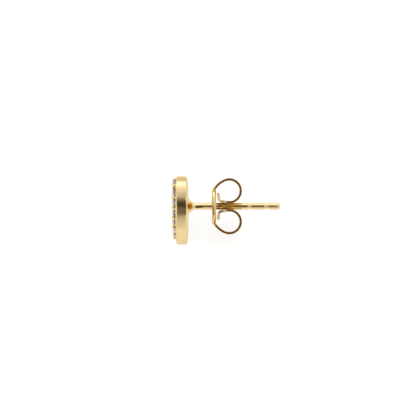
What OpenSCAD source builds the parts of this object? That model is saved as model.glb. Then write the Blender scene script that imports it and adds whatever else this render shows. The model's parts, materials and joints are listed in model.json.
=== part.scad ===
// Heart stud earring with a butterfly back, lying on its side.
// Everything is drawn upright round the post first: x across the heart, y up the heart,
// z along the post towards its free end, with z = 0 at the front of the heart's plain wall.
// lie_down() then lays it on one straight side of the heart, with the post along +Y.

/* [Heart] */
// Radius of the round outside of each lobe
lobe_r = 2.59; // [2.4:0.01:2.8]
// Distance of each lobe's centre from the middle of the heart
lobe_x = 1.61; // [1.5:0.01:1.7]
// Height of each lobe's centre above the post
lobe_y = 0.85; // [0.7:0.01:1.0]
// Radius of the lobe's inner side, down to the cleft
inner_r = 1.84; // [1.75:0.01:1.95]
// Direction in which the straight side faces, in degrees
flank_angle = -44.4; // [-47:0.1:-42]
// Rounding of the tip
tip_r = 0.27; // [0.26:0.01:0.5]
// Rounding at the bottom of the cleft
cleft_r = 0.12; // [0.1:0.01:0.2]
// Thickness of the plain wall
wall_t = 1.2; // [1.1:0.05:1.4]
// Rounding of the wall's back edge
back_round = 0.2; // [0.1:0.01:0.22]
// Height of the gently domed back above the wall's back edge
back_dome = 0.15; // [0.05:0.01:0.2]
// Rounding of the wall's front edge
front_round = 0.05; // [0.03:0.01:0.08]

/* [Stone field] */
// Width of the ledge round the raised tray
tray_inset = 0.2; // [0.16:0.01:0.24]
// Height of the raised tray
tray_h = 0.08; // [0.06:0.01:0.12]
// Rounding of the tray's edge
tray_round = 0.03; // [0.02:0.01:0.05]
// Distance between neighbouring stones
pitch = 1.11; // [1.1:0.01:1.12]
// Height of the top row of stones above the post
top_row_y = 2.64; // [2.6:0.01:2.66]
// Diameter of a stone
stone_d = 0.95; // [0.9:0.01:0.96]
// Height of the stones' widest line above the front of the wall
girdle_h = 0.34; // [0.32:0.01:0.36]
// Gap between a stone and its seat
seat_gap = 0.04; // [0.02:0.01:0.05]
// Radius of a bead between four stones
bead_r = 0.22; // [0.18:0.01:0.25]
// Radius of a bead at the tray's edge
edge_bead_r = 0.17; // [0.15:0.01:0.17]
// Height of the beads between stones above the front of the wall
bead_h = 0.59; // [0.56:0.01:0.62]
// Height of the beads at the tray's edge
edge_bead_h = 0.44; // [0.4:0.01:0.5]

/* [Post] */
// Radius of the post
post_r = 0.39; // [0.36:0.01:0.4]
// Length from the front of the wall to the end of the post
post_end = 11.89; // [11:0.01:12.5]
// Radius of the hollow flare where the post meets the heart
flare_r = 0.85; // [0.4:0.05:0.9]
// Depth of the two grooves near the end
groove_depth = 0.08; // [0.04:0.01:0.1]
// Start of the first groove
groove_1 = 8.165; // [8:0.005:8.3]
// Length of the first groove
groove_1_len = 0.45; // [0.4:0.01:0.5]
// Start of the second groove
groove_2 = 10.07; // [10:0.01:10.2]
// Length of the second groove
groove_2_len = 0.52; // [0.4:0.01:0.55]
// Length of the rounded end
nose = 0.29; // [0.2:0.01:0.35]

/* [Butterfly back] */
// Where the plate starts along the post
plate_z = 4.02; // [3:0.01:6]
// Depth of the plate's rolled rim
rim_t = 0.48; // [0.4:0.01:0.5]
// Thickness of the sheet
sheet_t = 0.3; // [0.25:0.01:0.32]
// Radius of the plate
plate_r = 2.15; // [2:0.01:2.3]
// Radius of the hole for the post
hole_r = 0.42; // [0.41:0.01:0.45]
// Outer radius of each curled loop
loop_r = 1.46; // [1.42:0.01:1.5]
// Distance of the loop's centre behind the plate's front
loop_behind = 2.0; // [1.95:0.01:2.05]
// Distance of each loop from the post's axis, before it is hollowed round the post
loop_near = 0.31; // [0.3:0.01:0.35]
// Radius of the curved arm along the middle of the strip
arm_r = 2.5; // [2.3:0.05:2.8]
// Direction in which the curl ends, in degrees
curl_end = -98; // [-102:1:-95]
// Straight length after the curl
curl_run = 0.75; // [0.7:0.01:0.78]
// Turn of the small bend before the end tab, in degrees
tab_turn = 74; // [70:1:76]
// Radius of that small bend along the middle of the strip
tab_bend_r = 0.3; // [0.25:0.01:0.35]
// Length of the end tab
tab_len = 0.72; // [0.6:0.01:0.8]

/* [Hidden] */
// Stone grid: each row is [row number, first column, last column], columns counted from the middle
stone_rows = [[0, 1, 2], [1, 0, 3], [2, 0, 3], [3, 0, 2], [4, 0, 1], [5, 0, 0]];
stones = [for (row = stone_rows) for (col = [-row[2]:row[2]]) if (abs(col) >= row[1])
    [col * pitch, top_row_y - row[0] * pitch]];
stone_count = len(stones);
function stone_name(number) = str("stone_", number < 10 ? "0" : "", number);
round_fn = 48;
bead_fn = 24;
gold = [0.91, 0.78, 0.52];
deep_gold = [0.86, 0.70, 0.42];
clear_stone = [0.90, 0.94, 0.98];

// Points along an arc, with both ends
function arc(centre, r, from, to, steps) =
    [for (i = [0:steps]) let (a = from + (to - from) * i / steps) centre + r * [cos(a), sin(a)]];

// The same without the first point, for an arc that goes on from another one
function arc_on(centre, r, from, to, steps) = arc(centre, r, from + (to - from) / steps, to, steps - 1);

// Distance of the straight side from the post
flank_reach = lobe_x * cos(flank_angle) + lobe_y * sin(flank_angle) + lobe_r;
// The inner arc shares the lobe's top, so its centre is higher
inner_y = lobe_y + lobe_r - inner_r;
// The small arc in the cleft touches the inner arcs of both lobes
cleft_y = inner_y + sqrt(pow(inner_r + cleft_r, 2) - pow(lobe_x, 2));
cleft_angle = atan2(cleft_y - inner_y, lobe_x);
// Right half of the heart's outline from the tip to the cleft, moved inwards by inset
function tip_centre(r, inset) = [0, (flank_reach - inset - r) / sin(flank_angle)];
function half_outline(inset) = let (small_r = max(tip_r - inset, 0.03)) concat(
    arc(tip_centre(small_r, inset), small_r, -90, flank_angle, 5),
    arc([lobe_x, lobe_y], lobe_r - inset, flank_angle, 90, 20),
    arc_on([lobe_x, inner_y], inner_r - inset, 90, 180 - cleft_angle, 9),
    arc_on([0, cleft_y], cleft_r + inset, -cleft_angle, -90, 4));
function outline(inset) =
    let (half = half_outline(inset), last = len(half) - 1)
    concat(half, [for (i = [last - 1:-1:1]) [-half[i][0], half[i][1]]]);

// Quarter round between two levels, as [z, inset] rows
function rounding(z, r, dir, steps) =
    [for (i = [0:steps]) let (a = 90 * i / steps) [z + dir * r * (1 - cos(a)), r * (1 - sin(a))]];
// The dome of the back, flat in the middle where the post stands
dome_inset = 1.5;
dome_rows = [for (share = [1, 0.6, 0.25])
    [wall_t + back_dome * (1 - pow(1 - share, 2)), back_round + (dome_inset - back_round) * share]];
setting_rows = concat(
    dome_rows,
    rounding(wall_t, back_round, -1, 4),
    [for (i = [3:-1:0]) rounding(0, front_round, 1, 3)[i]],
    [[0, tray_inset]],
    [for (i = [3:-1:0]) rounding(-tray_h, tray_round, 1, 3)[i] + [0, tray_inset]]);

stone_r = stone_d / 2;
crown_h = 0.15 * stone_d;
pavilion_h = 0.43 * stone_d;
girdle_t = 0.03 * stone_d;
table_share = 0.56;
// Height of a bead's rounded head as a share of its radius
head_share = 0.8;
lower_half_share = 0.77;

// Beads between stones stand wherever three or four stones meet
function stones_near(p) = len([for (s = stones) if (norm(s - p) < 0.8 * pitch) s]);
inner_beads = [for (row = [0:4]) for (col = [-3:2])
    let (p = [(col + 0.5) * pitch, top_row_y - (row + 0.5) * pitch]) if (stones_near(p) >= 3) p];
// Beads along the edge, as [x, y] on the right half; those on the middle line stand once
edge_beads_half = [[0.45, 2.40], [1.665, 3.07], [3.08, 2.35], [3.82, 0.975], [3.50, -0.27],
    [2.38, -1.40], [1.75, -2.08], [1.27, -2.54], [0.48, -3.38], [0, -3.64]];
edge_beads = [for (b = edge_beads_half) for (side = [1, -1]) if (side == 1 || b[0] > 0) [side * b[0], b[1]]];

// Place of a loop's centre, and the strip's width with which a loop's corner is as far from
// the post as the heart's straight side, so that the post lies level
loop_y = loop_near + loop_r;
loop_z = plate_z + loop_behind;
strip_w = 2 * (flank_reach + (loop_y + loop_r) * sin(flank_angle)) / cos(flank_angle);
line_r = loop_r - sheet_t / 2;
root_y = 2.05;
root_z = plate_z + 0.36;
overlap = 0.02;

// Middle of the lying earring's box, seen from above
x_to_tip = -tip_centre(tip_r, 0)[1] * cos(flank_angle) + tip_r;
x_to_lobe = lobe_x * -sin(flank_angle) + lobe_y * cos(flank_angle) + lobe_r;
box_x = (x_to_tip - x_to_lobe) / 2;
box_y = (post_end - bead_h) / 2;

module lie_down() {
    translate([-box_x, -box_y, flank_reach])
        rotate([-90, 0, 0]) rotate([0, 0, 90 - flank_angle]) children();
}

// Closed body through equal rings of points, from the back (high z) to the front
module loft(rows) {
    n = len(outline(0));
    rings = len(rows);
    points = [for (row = rows) for (p = outline(row[1])) [p[0], p[1], row[0]]];
    sides = [for (j = [0:rings - 2]) for (i = [0:n - 1])
        [j * n + i, j * n + (i + 1) % n, (j + 1) * n + (i + 1) % n, (j + 1) * n + i]];
    polyhedron(points, concat([[for (i = [n - 1:-1:0]) i]], sides,
        [[for (i = [0:n - 1]) (rings - 1) * n + i]]));
}

// Straight prong with a rounded head, standing on the tray
module bead(p, r, height) {
    head = [for (i = [0:3]) let (a = 30 * i) [r * cos(a), -height + r * head_share * (1 - sin(a))]];
    translate([p[0], p[1], 0])
        rotate_extrude($fn = bead_fn) polygon(concat([[0, 0], [r, 0]], head));
}

// Rolled groove with sloped ends and a slightly hollow bottom, as [radius, z] points
function groove(z, length) = [[post_r, z], [post_r - 0.8 * groove_depth, z + groove_depth],
    [post_r - groove_depth, z + length / 2],
    [post_r - 0.8 * groove_depth, z + length - groove_depth], [post_r, z + length]];

module post() {
    foot = wall_t - 0.1;
    flare = arc([post_r + flare_r, wall_t + back_dome + flare_r], flare_r, 270, 180, 6);
    nose_points = [for (i = [0:5]) let (a = 18 * i)
        [post_r * cos(a), post_end - nose + nose * sin(a)]];
    rotate_extrude($fn = round_fn)
        polygon(concat([[0, foot], [post_r + flare_r, foot]], flare,
            groove(groove_1, groove_1_len), groove(groove_2, groove_2_len), nose_points));
}

// Seat for one stone, a cone a little wider than the stone's underside
module seat() {
    slope = stone_r / pavilion_h;
    top = -tray_h - overlap;
    point = -girdle_h + girdle_t + pavilion_h + seat_gap;
    translate([0, 0, top]) cylinder(h = point - top, r1 = (point - top) * slope, r2 = 0, $fn = bead_fn);
}

module heart_setting() {
    color(gold) lie_down() union() {
        difference() {
            loft(setting_rows);
            for (s = stones) translate([s[0], s[1], 0]) seat();
        }
        for (b = inner_beads) bead(b, bead_r, bead_h);
        for (b = edge_beads) bead(b, edge_bead_r, edge_bead_h);
        post();
    }
}

// Round brilliant with its table up and the top edge of its girdle at z = 0:
// octagonal table, eight main crown facets, girdle, eight main lower facets
module brilliant() {
    table_r = stone_r * table_share;
    crown_mid_r = (stone_r + table_r) / 2 / cos(22.5);
    lower_mid_r = stone_r * (1 - lower_half_share) / cos(22.5);
    ring = function (r, z, count, start) [for (k = [0:count - 1])
        let (a = start + 360 * k / count) [r * cos(a), r * sin(a), z]];
    // First number of each ring's points: table, crown, girdle top, girdle bottom, underside, point
    T = 0;
    C = 8;
    G = 16;
    L = 32;
    P = 48;
    culet = 56;
    points = concat(ring(table_r, crown_h, 8, 0), ring(crown_mid_r, crown_h / 2, 8, 22.5),
        ring(stone_r, 0, 16, 0), ring(stone_r, -girdle_t, 16, 0),
        ring(lower_mid_r, -girdle_t - pavilion_h * lower_half_share, 8, 22.5),
        [[0, 0, -girdle_t - pavilion_h]]);
    each_eighth = [for (k = [0:7]) let (next = (k + 1) % 8, back = (k + 7) % 8,
            g = 2 * k, g1 = 2 * k + 1, g2 = (2 * k + 2) % 16) [
        [T + k, T + next, C + k],
        [T + k, C + k, G + g, C + back],
        [C + k, G + g1, G + g],
        [C + k, G + g2, G + g1],
        [G + g, G + g1, L + g1, L + g],
        [G + g1, G + g2, L + g2, L + g1],
        [L + g, L + g1, P + k],
        [L + g1, L + g2, P + k],
        [L + g, P + k, culet, P + back]]];
    polyhedron(points, concat([[7, 6, 5, 4, 3, 2, 1, 0]], [for (group = each_eighth) for (face = group) face]));
}

module stone(number) {
    at = stones[number - 1];
    color(clear_stone) lie_down() translate([at[0], at[1], -girdle_h]) rotate([180, 0, 0]) brilliant();
}

// Middle line of one arm, loop and tab, as [y, z, heading]; heading 0 points up the heart
// The arm is an arc from the plate to the point where it runs on into the loop's circle
root_dy = root_y - loop_y;
root_dz = root_z - loop_z;
root_gap = norm([root_dy, root_dz]);
reach = (line_r * (2 * arm_r - line_r) - pow(root_gap, 2)) / 2 / (arm_r - line_r);
touch = atan2(root_dy, root_dz) - acos(reach / root_gap);
arm_centre = [loop_y, loop_z] - (arm_r - line_r) * [sin(touch), cos(touch)];
root_angle = atan2(root_y - arm_centre[0], root_z - arm_centre[1]);
function arc_point(centre, r, a) = [centre[0] + r * sin(a), centre[1] + r * cos(a), 180 - a];
arm_arc = [for (i = [0:5]) arc_point(arm_centre, arm_r, root_angle + (touch - root_angle) * i / 6)];
curl = [for (i = [0:24]) arc_point([loop_y, loop_z], line_r, touch + (curl_end - touch) * i / 24)];
function ahead(p, length, turn = 0) =
    [p[0] + length * cos(p[2]), p[1] + length * sin(p[2]), p[2] + turn];
bend_start = ahead(curl[24], curl_run);
bend_steps = 5;
bend_step = 2 * tab_bend_r * sin(tab_turn / bend_steps / 2);
function bent(p, left) = left == 0 ? [p] : let (half = tab_turn / bend_steps / 2,
    next = ahead([p[0], p[1], p[2] + half], bend_step, half)) concat([p], bent(next, left - 1));
bend = bent(bend_start, bend_steps);
arm_line = concat(arm_arc, curl, bend, [ahead(bend[bend_steps], tab_len)]);
function side_line(side) = [for (p = arm_line)
    [p[0] - side * sheet_t / 2 * sin(p[2]), p[1] + side * sheet_t / 2 * cos(p[2])]];

module arm() {
    left = side_line(1);
    right = side_line(-1);
    // Turned so that the strip's width runs across the heart
    rotate([90, 0, 90]) translate([0, 0, -strip_w / 2]) linear_extrude(strip_w)
        polygon(concat(left, [for (i = [len(right) - 1:-1:0]) right[i]]));
}

module plate() {
    rim = rim_t / 2;
    rotate_extrude($fn = round_fn) polygon(concat(
        [[0, plate_z + 0.02], [plate_r - 2 * rim, plate_z]],
        arc([plate_r - rim, plate_z + rim], rim, -90, 90, 8),
        [[plate_r - 2 * rim, plate_z + rim_t - 0.06], [0, plate_z + 0.02 + sheet_t + 0.06]]));
    translate([-strip_w / 2, -root_y - 0.03, plate_z + 0.12]) cube([strip_w, 2 * root_y + 0.06, sheet_t + 0.04]);
}

module ear_nut() {
    color(deep_gold) lie_down() difference() {
        union() {
            plate();
            arm();
            mirror([0, 1, 0]) arm();
        }
        translate([0, 0, plate_z - 1]) cylinder(h = loop_behind + loop_r + 1, r = hole_r, $fn = round_fn);
    }
}

heart_setting();
for (i = [1:stone_count]) stone(i);
ear_nut();
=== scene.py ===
"""Looks of the heart stud earring: polished gold, clear stones, and a pale studio."""

import json
import math
import random

import bmesh
import bpy
from mathutils import Matrix, Vector


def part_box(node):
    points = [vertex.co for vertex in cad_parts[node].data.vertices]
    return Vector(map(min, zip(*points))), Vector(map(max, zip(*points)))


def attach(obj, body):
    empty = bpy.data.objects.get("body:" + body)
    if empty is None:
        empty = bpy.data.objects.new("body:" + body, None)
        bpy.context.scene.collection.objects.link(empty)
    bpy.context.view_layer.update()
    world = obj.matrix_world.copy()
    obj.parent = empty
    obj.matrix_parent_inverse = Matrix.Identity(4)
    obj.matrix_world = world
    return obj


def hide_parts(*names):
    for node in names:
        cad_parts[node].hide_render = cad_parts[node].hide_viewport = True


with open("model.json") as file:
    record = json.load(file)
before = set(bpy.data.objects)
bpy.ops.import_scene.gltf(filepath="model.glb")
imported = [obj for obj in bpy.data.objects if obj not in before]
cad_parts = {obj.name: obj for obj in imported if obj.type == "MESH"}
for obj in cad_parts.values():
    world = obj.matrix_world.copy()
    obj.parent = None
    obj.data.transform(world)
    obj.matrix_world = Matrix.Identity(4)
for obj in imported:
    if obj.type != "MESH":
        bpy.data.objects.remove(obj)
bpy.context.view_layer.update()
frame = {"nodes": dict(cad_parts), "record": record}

# Sizes of the metal in millimetres, round the post: x across the heart, y up the heart,
# z along the post, with z = 0 at the front of the heart's plain wall
MM = 0.001

# Outline of the heart
LOBE_R = 2.59
LOBE_X = 1.61
LOBE_Y = 0.85
INNER_R = 1.84
FLANK = math.radians(-44.4)
TIP_R = 0.27
MIN_TIP_R = 0.03
CLEFT_R = 0.12

# Wall, and the raised tray on its front, whose edge is rounder here than in the solid
WALL_T = 1.2
BACK_ROUND = 0.2
BACK_DOME = 0.15
DOME_INSET = 1.5
DOME_SHARES = (1.0, 0.99, 0.85, 0.7, 0.55, 0.4, 0.27, 0.15, 0.06)
FRONT_ROUND = 0.05
TRAY_INSET = 0.2
TRAY_H = 0.08
TRAY_ROUND = 0.075

# Stones and their seats; each row is (row, first, last), with columns first to last on both sides
PITCH = 1.11
TOP_ROW_Y = 2.64
STONE_ROWS = [(0, 1, 2), (1, 0, 3), (2, 0, 3), (3, 0, 2), (4, 0, 1), (5, 0, 0)]
STONE_R = 0.475
PAVILION_SHARE = 0.43
PAVILION_H = PAVILION_SHARE * 2 * STONE_R
GIRDLE_H = 0.34
GIRDLE_SHARE = 0.03
GIRDLE_LOW = GIRDLE_H - GIRDLE_SHARE * 2 * STONE_R
SEAT_GAP = 0.04
SEAT_OVER = 0.05

# Beads; those along the edge are (x, y) on one half, and those on the middle line stand once
BEAD_R = 0.22
BEAD_H = 0.59
EDGE_BEAD_R = 0.17
EDGE_BEAD_H = 0.44
EDGE_BEADS = [(0.45, 2.40), (1.665, 3.07), (3.08, 2.35), (3.82, 0.975), (3.50, -0.27),
              (2.38, -1.40), (1.75, -2.08), (1.27, -2.54), (0.48, -3.38), (0.0, -3.64)]
STONES_AROUND = 3
NEIGHBOUR_SHARE = 0.8
BEAD_SEED = 7
LEAST_BEAD_R = 0.93
LEAST_BEAD_H = 0.96
NECK_SHARE = 0.86
HEAD_SHARE = 0.85
SHOULDER_SHARE = 0.95
SHOULDER_DROP = 0.02
NECK_DROP = 0.05
BEAD_SINK = 0.05
BEAD_FOOT = 0.05
# Foot of a bead as (share of its width, height over the tray)
FOOT_CURVE = [(1, 0), (0.3, 0.03), (0, 0.07)]

# Post; each groove is (start, length)
POST_R = 0.39
POST_END = 11.89
POST_SINK = 0.1
FLARE_R = 0.85
GROOVE_DEPTH = 0.08
GROOVE_SHARE = 0.9
GROOVE_RUN = 0.1
GROOVES = [(8.165, 0.45), (10.07, 0.52)]
NOSE = 0.29

# Plate of the butterfly back
PLATE_Z = 4.02
PLATE_R = 2.15
RIM_T = 0.48
RIM_STEP = 0.06
SHEET_T = 0.3
HOLE_R = 0.42
DISH = 0.02
HUB_RISE = 0.06
LIP = 0.05
LIP_CUT = 0.3
WELD = 1e-6

# Arms, loops and tabs of the butterfly back
LOOP_R = 1.46
LOOP_BEHIND = 2.0
LOOP_NEAR = 0.31
ARM_R = 2.5
ROOT_Y = 2.05
ROOT_BEHIND = 0.36
ROOT_Z = PLATE_Z + ROOT_BEHIND
ROOT_SHARE = 0.6
CURL_END = math.radians(-98)
CURL_RUN = 0.75
TAB_TURN = math.radians(74)
TAB_BEND_R = 0.3
TAB_LEN = 0.72
TAB_TAPER = 0.3
STRIP_EDGE_R = 0.04
HOLLOW_OVER = 1
# Rounded end of a tab as (distance from the end, share of the strip's thickness)
TAB_END = [(0.11, 1.0), (0.07, 0.93), (0.03, 0.75), (0.01, 0.55), (0.0, 0.3)]

# Points this close to the ends of a flat stretch keep it shaded as flat
NEAR_ROW = 0.02
NEAR_END = 0.03
NEAR_FLAT = 0.012

# Steps of arcs and sides of round pieces
TIP_STEPS = 8
FLANK_STEPS = 10
LOBE_STEPS = 64
INNER_STEPS = 24
CLEFT_STEPS = 8
BACK_STEPS = 8
FRONT_STEPS = 6
HEAD_STEPS = 6
FLARE_STEPS = 16
GROOVE_STEPS = 8
NOSE_STEPS = 10
RIM_STEPS = 16
ARM_STEPS = 24
LOOP_STEPS = 96
TAB_BENDS = 12
CORNER_STEPS = 5
ROUND_SIDES = 96
SMALL_SIDES = 24

# Angles in degrees over which an edge is shaded as sharp
SHARP = 40
BEAD_SHARP = 60
POST_SHARP = 50

# The post's axis and the front of the wall come from the frame
mounts = {m["name"]: m for m in frame["record"]["mounts"]}
AXIS_X, _, AXIS_Z = mounts["post_end"]["pos_m"]
FRONT_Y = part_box("heart_setting")[1].y - POST_END * MM

# Upright directions of the earring as it lies: across the heart, up the heart, along the post
ACROSS = Vector((math.sin(FLANK), 0, -math.cos(FLANK)))
UP = Vector((-math.cos(FLANK), 0, -math.sin(FLANK)))
ALONG = Vector((0, 1, 0))

# The inner arcs share the lobes' tops, and the small arc in the cleft touches them
flank_reach = LOBE_X * math.cos(FLANK) + LOBE_Y * math.sin(FLANK) + LOBE_R
inner_y = LOBE_Y + LOBE_R - INNER_R
cleft_y = inner_y + math.sqrt((INNER_R + CLEFT_R) ** 2 - LOBE_X ** 2)
cleft_angle = math.atan2(cleft_y - inner_y, LOBE_X)

# The strip is as wide as lets a loop's corner rest when the post lies level
loop_y = LOOP_NEAR + LOOP_R
loop_z = PLATE_Z + LOOP_BEHIND
strip_w = 2 * (flank_reach + (loop_y + LOOP_R) * math.sin(FLANK)) / math.cos(FLANK)
line_r = LOOP_R - SHEET_T / 2


def lying(p):
    """A point round the post, in millimetres, where it lies in the frame, in metres."""
    x, y, z = p
    return Vector((AXIS_X, FRONT_Y, AXIS_Z)) + MM * (x * ACROSS + y * UP + z * ALONG)


def link_mesh(name, bm):
    """An object from a mesh, in the scene."""
    mesh = bpy.data.meshes.new(name)
    bm.to_mesh(mesh)
    bm.free()
    obj = bpy.data.objects.new(name, mesh)
    bpy.context.scene.collection.objects.link(obj)
    return obj


def shade(obj, sharp_deg):
    """Smooth shading, with the steeper edges kept sharp."""
    obj.data.shade_smooth()
    obj.data.set_sharp_from_angle(angle=math.radians(sharp_deg))


def add_object(name, bm, sharp_deg=SHARP):
    """An object from a mesh drawn round the post, laid down and shaded."""
    for v in bm.verts:
        v.co = lying(v.co)
    bmesh.ops.recalc_face_normals(bm, faces=bm.faces)
    obj = link_mesh(name, bm)
    shade(obj, sharp_deg)
    return obj


def join(name, pieces):
    """One object from the meshes of several, which are removed."""
    bm = bmesh.new()
    for piece in pieces:
        bm.from_mesh(piece.data)
    obj = link_mesh(name, bm)
    for piece in pieces:
        bpy.data.objects.remove(piece)
    return obj


def cut_away(obj, cutter):
    """Takes the cutter's shape out of an object and shades it again."""
    cut = obj.modifiers.new("cut", "BOOLEAN")
    cut.operation = "DIFFERENCE"
    cut.object = cutter
    cut.solver = "EXACT"
    depsgraph = bpy.context.evaluated_depsgraph_get()
    mesh = bpy.data.meshes.new_from_object(obj.evaluated_get(depsgraph))
    obj.modifiers.clear()
    obj.data = mesh
    bpy.data.objects.remove(cutter)
    shade(obj, SHARP)


def arc(centre, r, start, end, steps):
    """Points along an arc, with both its ends."""
    return [(centre[0] + r * math.cos(start + (end - start) * i / steps),
             centre[1] + r * math.sin(start + (end - start) * i / steps)) for i in range(steps + 1)]


def quarter(z, r, direction, steps, inset=0.0):
    """Rows of a rounded edge, from the flat face outwards."""
    return [(z + direction * r * (1 - math.cos(math.pi / 2 * i / steps)),
             inset + r * (1 - math.sin(math.pi / 2 * i / steps))) for i in range(steps + 1)]


def skin(bm, rings):
    """Closed body over rings that have the same number of points."""
    n = len(rings[0])
    for a, b in zip(rings, rings[1:]):
        for k in range(n):
            bm.faces.new((a[k], a[(k + 1) % n], b[(k + 1) % n], b[k]))
    bm.faces.new(rings[0])
    bm.faces.new(rings[-1])


def lathe(bm, profile, sides, at=(0, 0)):
    """Turns a profile of (r, z) points round the post's direction; r = 0 closes an end."""
    rings = []
    for r, z in profile:
        if r == 0:
            rings.append([bm.verts.new((*at, z))])
        else:
            rings.append([bm.verts.new((at[0] + r * math.cos(2 * math.pi * k / sides),
                                        at[1] + r * math.sin(2 * math.pi * k / sides), z))
                          for k in range(sides)])
    for a, b in zip(rings, rings[1:]):
        for k in range(sides):
            k2 = (k + 1) % sides
            if len(a) == 1:
                bm.faces.new((a[0], b[k], b[k2]))
            elif len(b) == 1:
                bm.faces.new((a[k], a[k2], b[0]))
            else:
                bm.faces.new((a[k], a[k2], b[k2], b[k]))
    return rings


def outline(inset):
    """The heart's outline moved inwards, anticlockwise from the tip."""
    tip_r = max(TIP_R - inset, MIN_TIP_R)
    tip_centre = (0, (flank_reach - inset - tip_r) / math.sin(FLANK))
    half = arc(tip_centre, tip_r, -math.pi / 2, FLANK, TIP_STEPS)
    lobe = arc((LOBE_X, LOBE_Y), LOBE_R - inset, FLANK, math.pi / 2, LOBE_STEPS)
    low, high = half[-1], lobe[0]
    half += [tuple(low[k] + (high[k] - low[k]) * i / FLANK_STEPS for k in (0, 1))
             for i in range(1, FLANK_STEPS)]
    half += lobe
    half += arc((LOBE_X, inner_y), INNER_R - inset, math.pi / 2, math.pi - cleft_angle, INNER_STEPS)[1:]
    half += arc((0, cleft_y), CLEFT_R + inset, -cleft_angle, -math.pi / 2, CLEFT_STEPS)[1:]
    return half + [(-x, y) for x, y in half[-2:0:-1]]


def stone_places():
    """Middles of the stones as (x, y), row by row from the top."""
    return [(col * PITCH, TOP_ROW_Y - row * PITCH) for row, first, last in STONE_ROWS
            for col in range(-last, last + 1) if abs(col) >= first]


def bead_places():
    """The beads as (place, radius, height): between three or four stones, and along the edge."""
    stones = stone_places()
    rows = len(STONE_ROWS) - 1
    cols = max(last for _, _, last in STONE_ROWS)
    beads = []
    for row in range(rows):
        for col in range(-cols, cols):
            p = ((col + 0.5) * PITCH, TOP_ROW_Y - (row + 0.5) * PITCH)
            if sum(math.dist(p, s) < NEIGHBOUR_SHARE * PITCH for s in stones) >= STONES_AROUND:
                beads.append((p, BEAD_R, BEAD_H))
    for x, y in EDGE_BEADS:
        beads += [((side * x, y), EDGE_BEAD_R, EDGE_BEAD_H) for side in ((1, -1) if x > 0 else (1,))]
    return beads


def heart_wall():
    """The plain wall and the raised tray, with a drilled seat for each stone."""
    dome = [(WALL_T + BACK_DOME * (1 - (1 - share) ** 2), BACK_ROUND + (DOME_INSET - BACK_ROUND) * share)
            for share in DOME_SHARES]
    back = quarter(WALL_T, BACK_ROUND, -1, BACK_STEPS)
    flat = [(WALL_T - BACK_ROUND - NEAR_ROW, 0), (FRONT_ROUND + NEAR_ROW, 0)]
    front = quarter(0, FRONT_ROUND, 1, FRONT_STEPS)[::-1]
    tray = quarter(-TRAY_H, TRAY_ROUND, 1, FRONT_STEPS, TRAY_INSET)[::-1]
    rows = dome + back + flat + front + [(0, TRAY_INSET)] + tray
    bm = bmesh.new()
    skin(bm, [[bm.verts.new((x, y, z)) for x, y in outline(inset)] for z, inset in rows])
    wall = add_object("heart_wall", bm)
    cut_away(wall, seat_cutter())
    return wall


def seat_cutter():
    """The cones that drill the stones' seats."""
    slope = STONE_R / PAVILION_H
    point = -GIRDLE_LOW + PAVILION_H + SEAT_GAP
    top = -TRAY_H - SEAT_OVER
    bm = bmesh.new()
    for place in stone_places():
        lathe(bm, [(0, top), ((point - top) * slope, top), (0, point)], SMALL_SIDES, place)
    return add_object("seat_cutter", bm)


def beads():
    """Bead-topped prongs standing on the tray, each a little different."""
    rng = random.Random(BEAD_SEED)
    bm = bmesh.new()
    for place, r, height in bead_places():
        r = r * rng.uniform(LEAST_BEAD_R, 1.0)
        top = height * rng.uniform(LEAST_BEAD_H, 1.0)
        neck = NECK_SHARE * r
        head_h = HEAD_SHARE * r
        head_low = -top + head_h
        profile = [(0, BEAD_SINK), (neck + BEAD_FOOT, BEAD_SINK)]
        profile += [(neck + share * BEAD_FOOT, -TRAY_H - rise) for share, rise in FOOT_CURVE]
        profile += [(neck, head_low + NECK_DROP), (SHOULDER_SHARE * r, head_low + SHOULDER_DROP)]
        for i in range(HEAD_STEPS):
            a = math.radians(90 * i / HEAD_STEPS)
            profile.append((r * math.cos(a), head_low - head_h * math.sin(a)))
        lathe(bm, profile + [(0, -top)], SMALL_SIDES, place)
    return add_object("beads", bm, BEAD_SHARP)


def post():
    """The post with its flared foot, its grooves and its rounded end."""
    foot_z = WALL_T - POST_SINK
    flare_r = POST_R + FLARE_R
    flare_end = WALL_T + BACK_DOME + FLARE_R
    profile = [(0, foot_z), (flare_r, foot_z)]
    profile += arc((flare_r, flare_end), FLARE_R, math.radians(270), math.radians(180), FLARE_STEPS)
    profile.append((POST_R, flare_end + NEAR_END))
    depth = GROOVE_SHARE * GROOVE_DEPTH
    slope = [(POST_R - depth * (1 - math.cos(math.pi * k / GROOVE_STEPS)) / 2,
              GROOVE_RUN * k / GROOVE_STEPS) for k in range(GROOVE_STEPS + 1)]
    for z, length in GROOVES:
        profile.append((POST_R, z - NEAR_END))
        profile += [(r, z + run) for r, run in slope]
        profile += [(r, z + length - run) for r, run in slope[::-1]]
        profile.append((POST_R, z + length + NEAR_END))
    profile.append((POST_R, POST_END - NOSE - NEAR_END))
    for i in range(NOSE_STEPS):
        a = math.radians(90 * i / NOSE_STEPS)
        profile.append((POST_R * math.cos(a), POST_END - NOSE + NOSE * math.sin(a)))
    bm = bmesh.new()
    lathe(bm, profile + [(0, POST_END)], ROUND_SIDES)
    return add_object("post", bm, POST_SHARP)


def turned(centre, r, start, end, steps):
    """An arc as (y, z, heading) points, its angles counted from the post's direction."""
    angles = [start + (end - start) * i / steps for i in range(steps + 1)]
    return [(centre[0] + r * math.sin(a), centre[1] + r * math.cos(a), math.pi - a) for a in angles]


def ahead(p, length, turn=0):
    """The (y, z, heading) point a straight length further on, turned there."""
    y, z, h = p
    return (y + length * math.cos(h), z + length * math.sin(h), h + turn)


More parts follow.
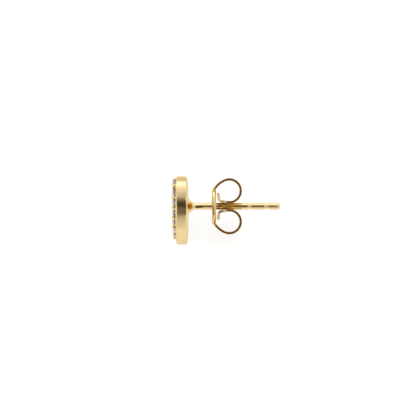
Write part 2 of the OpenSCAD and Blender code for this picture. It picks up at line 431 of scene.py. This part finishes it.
def arm_line():
    """Middle line of one arm as (y, z, heading), heading 0 up the heart."""
    dy, dz = ROOT_Y - loop_y, ROOT_Z - loop_z
    gap = ARM_R - line_r
    reach = (line_r * (2 * ARM_R - line_r) - dy ** 2 - dz ** 2) / 2 / gap
    touch = math.atan2(dy, dz) - math.acos(reach / math.hypot(dy, dz))
    centre = (loop_y - gap * math.sin(touch), loop_z - gap * math.cos(touch))
    root_angle = math.atan2(ROOT_Y - centre[0], ROOT_Z - centre[1])
    line = turned(centre, ARM_R, root_angle, touch, ARM_STEPS)[:-1]
    line += turned((loop_y, loop_z), line_r, touch, CURL_END, LOOP_STEPS)
    line.append(ahead(line[-1], CURL_RUN))
    half = TAB_TURN / TAB_BENDS / 2
    for _ in range(TAB_BENDS):
        y, z, h = line[-1]
        line.append(ahead((y, z, h + half), 2 * TAB_BEND_R * math.sin(half), half))
    line.append(ahead(line[-1], TAB_LEN))
    return line


def strip_section(w, t, r):
    """Rounded rectangle of the strip's section, as (across, through) points."""
    rounding = [(90 * k / CORNER_STEPS, 0) for k in range(CORNER_STEPS + 1)]
    turns = [(0, -NEAR_FLAT)] + rounding + [(90, NEAR_FLAT)]
    corners = [(w / 2 - r, t / 2 - r, 0), (-w / 2 + r, t / 2 - r, 90),
               (-w / 2 + r, -t / 2 + r, 180), (w / 2 - r, -t / 2 + r, 270)]
    points = []
    for x, y, start in corners:
        for turn, step in turns:
            a = math.radians(start + turn)
            points.append((x + r * math.cos(a) - step * math.sin(a),
                           y + r * math.sin(a) + step * math.cos(a)))
    return points


def sweep_strip(bm, line, side):
    """Sweeps the strip along its middle line; side -1 is the arm below the post."""
    places = line[:-1] + [ahead(line[-1], -back) for back, _ in TAB_END]
    shares = [ROOT_SHARE] + [1.0] * (len(line) - 2) + [share for _, share in TAB_END]
    # The strip narrows a little from the small bend to the tab's end
    bend_share = TAB_TURN * TAB_BEND_R / (TAB_TURN * TAB_BEND_R + TAB_LEN)
    tapers = [0.0] * (len(line) - 2 - TAB_BENDS)
    tapers += [bend_share * i / TAB_BENDS for i in range(TAB_BENDS + 1)]
    tapers += [1.0] * len(TAB_END)
    rings = []
    for (y, z, h), share, taper in zip(places, shares, tapers, strict=True):
        width = strip_w - 2 * (1 - share) * STRIP_EDGE_R - 2 * TAB_TAPER * taper
        section = strip_section(width, SHEET_T * share, STRIP_EDGE_R * share)
        rings.append([bm.verts.new((across, side * (y - through * math.sin(h)), z + through * math.cos(h)))
                      for across, through in section])
    skin(bm, rings)


def loops():
    """Both arms with their loops, hollowed round the post."""
    low, high = PLATE_Z - HOLLOW_OVER, loop_z + LOOP_R + HOLLOW_OVER
    pieces = []
    for side in (1, -1):
        bm = bmesh.new()
        sweep_strip(bm, arm_line(), side)
        strip = add_object("strip", bm)
        hollow = bmesh.new()
        lathe(hollow, [(0, low), (HOLE_R, low), (HOLE_R, high), (0, high)], ROUND_SIDES)
        cut_away(strip, add_object("hollow", hollow))
        pieces.append(strip)
    return pieces


def plate():
    """The round plate, dished a little round its hole, with a thick rim."""
    rim = RIM_T / 2
    flat_r = PLATE_R - 2 * rim
    front_z = PLATE_Z + DISH
    back_z = PLATE_Z + DISH + SHEET_T + HUB_RISE
    front = [(HOLE_R, front_z + LIP), (HOLE_R + LIP_CUT * LIP, front_z + LIP_CUT * LIP),
             (HOLE_R + LIP, front_z), (flat_r, PLATE_Z)]
    rim_arc = arc((PLATE_R - rim, PLATE_Z + rim), rim, -math.pi / 2, math.pi / 2, RIM_STEPS)
    back = [(flat_r, PLATE_Z + RIM_T - RIM_STEP), (HOLE_R + LIP, back_z),
            (HOLE_R + LIP_CUT * LIP, back_z - LIP_CUT * LIP), (HOLE_R, back_z - LIP),
            (HOLE_R, front_z + LIP)]
    bm = bmesh.new()
    rings = lathe(bm, front + rim_arc + back, ROUND_SIDES)
    # The profile ends where it began
    bmesh.ops.remove_doubles(bm, verts=rings[0] + rings[-1], dist=WELD)
    return add_object("plate", bm)


# Finish of the metal and the stones; noise scales are in cells to the metre
GOLD_SPECULAR = (0.93, 0.82, 0.62, 1)
DRIFT_SCALE = 420.0
DRIFT_DETAIL = 3.0
DRIFT_SPAN = (0.3, 0.7)
SMEAR_SCALE = 1500.0
SMEAR_DETAIL = 4.0
SCRATCH_SCALE = (900.0, 9000.0, 900.0)
SCRATCH_DETAIL = 5.0
SCRATCH_STRENGTH = 0.05
SCRATCH_DEPTH = 0.00001
STONE_IOR = 2.15
STONE_CLEAR = 0.9
STONE_DRIFT_SCALE = 900.0
STONE_TINTS = [(0.0, (0.97, 0.96, 0.95)), (1.0, (1.0, 0.99, 0.97))]


def set_node(tree, node, values=None, wires=None):
    """Sets a node's inputs to values, and wires others to the outputs given."""
    for name, value in (values or {}).items():
        node.inputs[name].default_value = value
    for name, output in (wires or {}).items():
        tree.links.new(output, node.inputs[name])
    return node


def add_node(tree, kind, values=None, wires=None):
    """A new node of a kind, with its inputs set and wired."""
    return set_node(tree, tree.nodes.new(kind), values, wires)


def add_ramp(tree, factor, stops):
    """A colour ramp over (position, colour) stops, as its colour output."""
    ramp = add_node(tree, "ShaderNodeValToRGB", wires={"Fac": factor})
    elements = ramp.color_ramp.elements
    while len(elements) < len(stops):
        elements.new(0.5)
    for element, (position, colour) in zip(elements, stops):
        element.position = position
        element.color = (*colour, 1)
    return ramp.outputs["Color"]


def node_material(name, values):
    """A material of one Principled shader with inputs set to values, and that shader."""
    mat = bpy.data.materials.new(name)
    mat.use_nodes = True
    tree = mat.node_tree
    tree.nodes.clear()
    shader = add_node(tree, "ShaderNodeBsdfPrincipled", values)
    add_node(tree, "ShaderNodeOutputMaterial", wires={"Surface": shader.outputs["BSDF"]})
    return mat, shader


def gold_material(name, low, high, rough_low, rough_high):
    """Polished plating: colour drifts a little, with faint polishing waves and fine scratches."""
    mat, shader = node_material(name, {"Metallic": 1.0, "Specular Tint": GOLD_SPECULAR})
    tree = mat.node_tree
    place = add_node(tree, "ShaderNodeTexCoord").outputs["Object"]
    drift = add_node(tree, "ShaderNodeTexNoise", {"Scale": DRIFT_SCALE, "Detail": DRIFT_DETAIL},
                     {"Vector": place})
    smears = add_node(tree, "ShaderNodeTexNoise", {"Scale": SMEAR_SCALE, "Detail": SMEAR_DETAIL},
                      {"Vector": place})
    rough = add_node(tree, "ShaderNodeMapRange", {"To Min": rough_low, "To Max": rough_high},
                     {"Value": smears.outputs["Fac"]})
    stretch = add_node(tree, "ShaderNodeMapping", {"Scale": SCRATCH_SCALE}, {"Vector": place})
    scratches = add_node(tree, "ShaderNodeTexNoise", {"Scale": 1.0, "Detail": SCRATCH_DETAIL},
                         {"Vector": stretch.outputs["Vector"]})
    bump = add_node(tree, "ShaderNodeBump", {"Strength": SCRATCH_STRENGTH, "Distance": SCRATCH_DEPTH},
                    {"Height": scratches.outputs["Fac"]})
    set_node(tree, shader, wires={
        "Base Color": add_ramp(tree, drift.outputs["Fac"], list(zip(DRIFT_SPAN, (low, high)))),
        "Roughness": rough.outputs["Result"],
        "Normal": bump.outputs["Normal"]})
    return mat


def stone_material():
    """Clear faceted stone: strong refraction, and a faint warm drift in its tint."""
    mat, shader = node_material("clear_stone", {
        "Roughness": 0.0, "IOR": STONE_IOR, "Transmission Weight": STONE_CLEAR})
    tree = mat.node_tree
    place = add_node(tree, "ShaderNodeTexCoord").outputs["Object"]
    drift = add_node(tree, "ShaderNodeTexNoise", {"Scale": STONE_DRIFT_SCALE}, {"Vector": place})
    set_node(tree, shader, wires={"Base Color": add_ramp(tree, drift.outputs["Fac"], STONE_TINTS)})
    return mat


# Studio, in metres
FLOOR_HALF = 3
FLOOR_Z = -0.00001
FLOOR_TONE = 0.22
FLOOR_GLOW = 0.83
CAMERA_DISTANCE = 0.24
CAMERA_LENS = 180.6
CAMERA_CLIP = 0.001
TARGET_ALONG = 3.577
TARGET_UP = -0.2
LIGHT_TARGET = (0, 0, 4)
# Soft lights as (name, direction, distance, size, power)
SOFTBOXES = [("high_box", (-0.655, 0, 0.755), 0.30, (0.30, 0.13), 0.11),
             ("wide_box", (-0.44, 0, 0.90), 0.34, (0.40, 0.16), 0.06)]
# The surroundings' tone follows the angle from an axis that rises towards +X: (cosine, tone)
WORLD_AXIS = math.radians(16)
WORLD_TONES = [(-1.0, 0.64), (-0.5, 0.74), (0.06, 0.88), (0.3, 0.80), (0.588, 0.67), (1.0, 0.60)]
WORLD_STRENGTH = 1.25

# Cards, in metres: the near and far ones lie on the floor and the side card and flag stand on edge.
# Their tones are painted reflections, seen only in the gold and through the stones.
# Tones are (share of the card's reach, tone), outwards on the floor and downwards on the side card
UPRIGHT = math.radians(90)
CARD_LIFT = 0.00005
CARD_FAR = 3
CARD_LOW = -0.0064
CARD_SPLIT = -0.0032
NEAR_X = 0.0065
NEAR_REACH = 0.032
# Painted reflection: the near card runs from white by the earring to dark brown further out, for the dark
# band on the heart's flank
NEAR_REFLECTION_TONES = [(0.0, 0.95), (0.019, 0.88), (0.05, 0.66), (0.072, 0.42),
              (0.084, 0.27), (0.2, 0.20), (1.0, 0.20)]
FAR_X = 0.022
FAR_REACH = 0.03
# Painted reflection: the far card is dark, and darker further out
FAR_REFLECTION_TONES = [(0, 0.25), (1, 0.09)]
SIDE_X = 0.014
SIDE_H = 0.027
# Painted reflection: the side card glows with these tones though it is no lamp, pale above and near-black
# lower down, for the bands on the heart's wall
SIDE_GLOW_REFLECTION_TONES = [(0.037, 0.75), (0.296, 0.42), (0.459, 0.20), (0.574, 0.09),
              (0.66, 0.06), (0.744, 0.10), (0.83, 0.19), (1.0, 0.20)]
# Painted dark reflection: a near-black flag close to the earring, for the dark line along the back edge of
# the heart's wall
FLAG_X = 0.0055
FLAG_LOW = 0.00305
FLAG_HIGH = 0.0087
FLAG_ALONG = (-0.00462, -0.0027)
FLAG_SHADE_TONE = 0.03
# Painted dark reflection: a dark brown card where the camera stands, seen only in reflections on the gold
LENS_HALF = 0.068
LENS_ALONG = (-0.0046, 0.0105)
LENS_DISTANCE = 0.12
LENS_TURN = math.radians(42)
LENS_DARK_REFLECTION_COLOUR = (0.10, 0.062, 0.028, 1)
# A card's tone is white above this one, and browner the darker it is below it, so that the painted dark
# reflections on the gold are brown
WARM_BELOW = 0.6
BROWN_GREEN = 0.8
BROWN_BLUE = 0.66


def floor_material():
    """A surface that glows white, so that shadows on it stay faint."""
    return node_material("studio_floor", {
        "Roughness": 0.9, "Specular IOR Level": 0.2, "Base Color": (FLOOR_TONE, FLOOR_TONE, FLOOR_TONE, 1),
        "Emission Color": (1, 1, 1, 1), "Emission Strength": FLOOR_GLOW})[0]


def lens_dark_reflection_material():
    """Stands in for the dark front of a camera and its shade: a brown-black card, seen only in
    reflections, that paints a dark band on the gold.
    """
    return node_material("studio_lens_painted_reflection", {
        "Roughness": 1.0, "Specular IOR Level": 0.0, "Base Color": LENS_DARK_REFLECTION_COLOUR})[0]


def reflection_card_colour(tone):
    """A painted reflection's tone as a colour, brown where it is dark."""
    warm = 1 if tone > WARM_BELOW else tone / WARM_BELOW
    green = BROWN_GREEN + (1 - BROWN_GREEN) * warm
    blue = BROWN_BLUE + (1 - BROWN_BLUE) * warm
    return (tone, tone * green, tone * blue)


def reflection_card_material(name, start, reach, tones, glows=False):
    """A card with painted reflection tones along its x; a glowing one keeps its tone in any light, though
    it is no lamp.
    """
    mat, shader = node_material(name, {
        "Roughness": 1.0, "Specular IOR Level": 0.0, "Base Color": (0, 0, 0, 1),
        "Emission Strength": 1.0 if glows else 0.0})
    tree = mat.node_tree
    place = add_node(tree, "ShaderNodeTexCoord").outputs["Object"]
    along = add_node(tree, "ShaderNodeSeparateXYZ", wires={"Vector": place}).outputs["X"]
    share = add_node(tree, "ShaderNodeMapRange", {"From Min": start, "From Max": start + reach},
                     {"Value": along})
    stops = [(position, reflection_card_colour(tone)) for position, tone in tones]
    colour = add_ramp(tree, share.outputs["Result"], stops)
    set_node(tree, shader, wires={"Emission Color" if glows else "Base Color": colour})
    return mat


def plane(name, x_span, y_span, z, material):
    """A flat rectangle of the studio."""
    (x0, x1), (y0, y1) = x_span, y_span
    bm = bmesh.new()
    bm.faces.new([bm.verts.new(p) for p in ((x0, y0, z), (x1, y0, z), (x1, y1, z), (x0, y1, z))])
    obj = link_mesh(name, bm)
    obj.data.materials.append(material)
    return obj


def card(name, x_span, y_span, z, material, place=(0, 0, 0), turn=0):
    """A studio card that only reflections, and light through the stones, can see."""
    obj = plane(name, x_span, y_span, z, material)
    obj.location = place
    obj.rotation_euler = (0, turn, 0)
    obj.visible_camera = False
    obj.visible_diffuse = False
    obj.visible_shadow = False


def add_cards():
    """Painted reflections: a dark card standing in for the camera's front, a dark flag, and three toned
    cards beside the earring.
    """
    lens_way = Vector((math.sin(LENS_TURN), 0, math.cos(LENS_TURN)))
    lens_place = Vector((AXIS_X, 0, AXIS_Z)) + LENS_DISTANCE * lens_way
    card("camera_reflection_card", (-LENS_HALF, LENS_HALF), LENS_ALONG, 0, lens_dark_reflection_material(), lens_place, LENS_TURN)
    card("flag", (-FLAG_HIGH, -FLAG_LOW), FLAG_ALONG, 0,
         reflection_card_material("flag_painted_dark_reflection", 0, 1, [(0, FLAG_SHADE_TONE), (1, FLAG_SHADE_TONE)]), (FLAG_X, 0, 0), UPRIGHT)
    card("near_card", (NEAR_X, CARD_FAR), (CARD_LOW, CARD_SPLIT), CARD_LIFT,
         reflection_card_material("near_painted_reflection", NEAR_X, NEAR_REACH, NEAR_REFLECTION_TONES))
    card("side_reflection_card", (-SIDE_H, 0), (CARD_LOW, CARD_SPLIT), 0,
         reflection_card_material("side_painted_reflection_glow", -SIDE_H, SIDE_H, SIDE_GLOW_REFLECTION_TONES, glows=True), (SIDE_X, 0, 0), UPRIGHT)
    card("far_card", (FAR_X, CARD_FAR), (CARD_SPLIT, CARD_FAR), CARD_LIFT,
         reflection_card_material("far_painted_reflection", FAR_X, FAR_REACH, FAR_REFLECTION_TONES))


def studio_world():
    """Pale surroundings, palest square to their axis."""
    world = bpy.data.worlds.new("studio")
    bpy.context.scene.world = world
    world.use_nodes = True
    tree = world.node_tree
    tree.nodes.clear()
    direction = add_node(tree, "ShaderNodeTexCoord").outputs["Generated"]
    dot = tree.nodes.new("ShaderNodeVectorMath")
    dot.operation = "DOT_PRODUCT"
    dot.inputs[1].default_value = (math.cos(WORLD_AXIS), 0, math.sin(WORLD_AXIS))
    tree.links.new(direction, dot.inputs[0])
    share = add_node(tree, "ShaderNodeMapRange", {"From Min": -1.0}, {"Value": dot.outputs["Value"]})
    colour = add_ramp(tree, share.outputs["Result"],
                      [((cosine + 1) / 2, (tone, tone, tone)) for cosine, tone in WORLD_TONES])
    back = add_node(tree, "ShaderNodeBackground", {"Strength": WORLD_STRENGTH}, {"Color": colour})
    add_node(tree, "ShaderNodeOutputWorld", wires={"Surface": back.outputs["Background"]})


def softbox(name, direction, distance, size, power):
    """A soft rectangular light that faces the earring."""
    light = bpy.data.lights.new(name, "AREA")
    light.shape = "RECTANGLE"
    light.size, light.size_y = size
    light.energy = power
    obj = bpy.data.objects.new(name, light)
    direction = Vector(direction).normalized()
    obj.location = lying(LIGHT_TARGET) + direction * distance
    obj.rotation_mode = "QUATERNION"
    obj.rotation_quaternion = direction.to_track_quat("Z", "Y")
    bpy.context.scene.collection.objects.link(obj)


def add_camera():
    """The camera looks at the heart edge-on, with the post level and to the right."""
    camera = bpy.data.cameras.new("camera")
    camera.lens = CAMERA_LENS
    camera.clip_start = CAMERA_CLIP
    obj = bpy.data.objects.new("camera", camera)
    bpy.context.scene.collection.objects.link(obj)
    rotation = Matrix((ALONG, UP, -ACROSS)).transposed()
    place = lying((0, TARGET_UP, TARGET_ALONG)) - ACROSS * CAMERA_DISTANCE
    obj.matrix_world = Matrix.Translation(place) @ rotation.to_4x4()
    bpy.context.scene.camera = obj


# Colours at both ends of the drift, and the least and most roughness
setting_gold = gold_material("setting_gold", (0.80, 0.61, 0.31), (0.86, 0.67, 0.36), 0.06, 0.12)
nut_gold = gold_material("nut_gold", (0.78, 0.57, 0.26), (0.84, 0.63, 0.31), 0.06, 0.14)
clear_stone = stone_material()

setting = join("heart_metal", [heart_wall(), beads(), post()])
setting.data.materials.append(setting_gold)
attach(setting, "earring")
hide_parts("heart_setting")

nut = join("butterfly_back", [plate()] + loops())
nut.data.materials.append(nut_gold)
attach(nut, "nut")
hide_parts("ear_nut")

for name, stone in frame["nodes"].items():
    if name.startswith("stone_"):
        stone.data.materials.clear()
        stone.data.materials.append(clear_stone)

plane("floor", (-FLOOR_HALF, FLOOR_HALF), (-FLOOR_HALF, FLOOR_HALF), FLOOR_Z, floor_material())
add_cards()
studio_world()
for box in SOFTBOXES:
    softbox(*box)
add_camera()
bpy.context.scene.view_settings.view_transform = "Standard"
